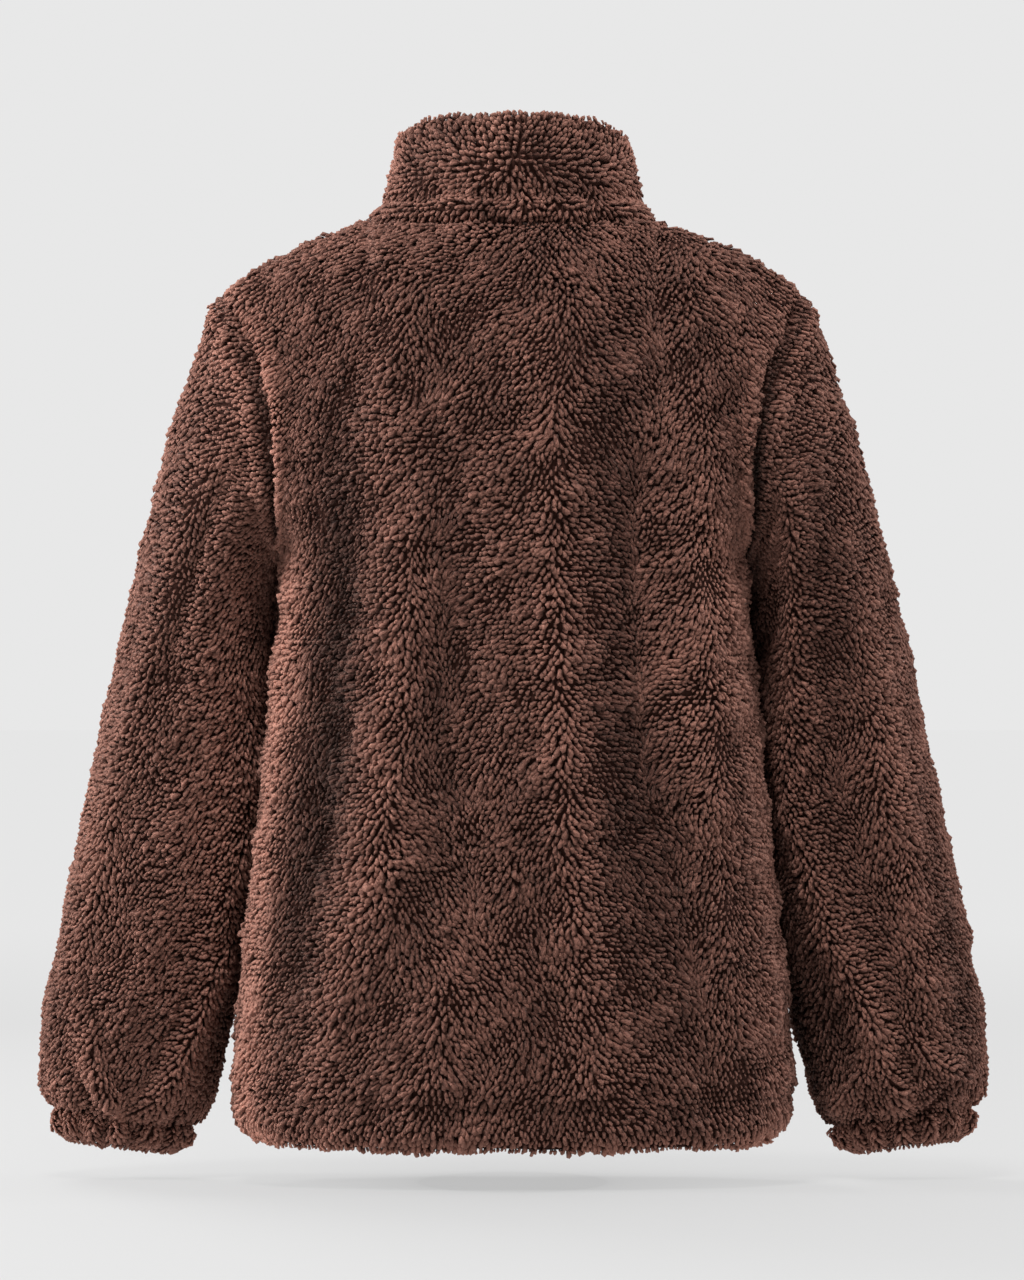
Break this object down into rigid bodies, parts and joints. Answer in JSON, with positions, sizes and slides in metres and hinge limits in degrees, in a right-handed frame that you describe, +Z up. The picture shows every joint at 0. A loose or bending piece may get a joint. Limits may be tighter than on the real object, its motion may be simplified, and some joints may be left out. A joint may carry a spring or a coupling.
{
  "type": "fleece jacket",
  "caption": "Hollow deep-pile fleece jacket in the shape of a wearer, with a stand collar, long set-in sleeves, gathered cuffs and a closed full-length front zip.",
  "frame": {"origin": "middle of the neck opening at the height of the back neck seam, where the wearer's shoulders and neck hold the jacket", "axes": "+X to the wearer's left, -Y out of the chest, +Y out of the back, +Z up"},
  "size_m": [0.692, 0.2816, 0.7525],
  "materials": {
    "pile": "deep curly pile in warm dark brown",
    "tape": "matt woven tape in dark brown",
    "coil": "satin nylon coil in dark brown",
    "zip_metal": "satin dark metal"
  },
  "bodies": {
    "jacket": {"back": "pile", "front_left": "pile", "front_right": "pile", "sleeve_left": "pile", "sleeve_right": "pile", "collar": "pile", "cuff_left": "pile", "cuff_right": "pile", "zip_tape_left": "tape", "zip_tape_right": "tape", "zip_chain": "coil", "zip_box": "zip_metal", "zip_slider": "zip_metal"},
    "pull_tab": {"zip_pull": "zip_metal"}
  },
  "joints": [
    {"name": "pull_tab_swing", "type": "hinge", "parent": "jacket", "child": "pull_tab", "pos_m": [0, -0.08032, 0.01266], "axis": [-1, 0, 0], "range_deg": [0, 150]}
  ]
}
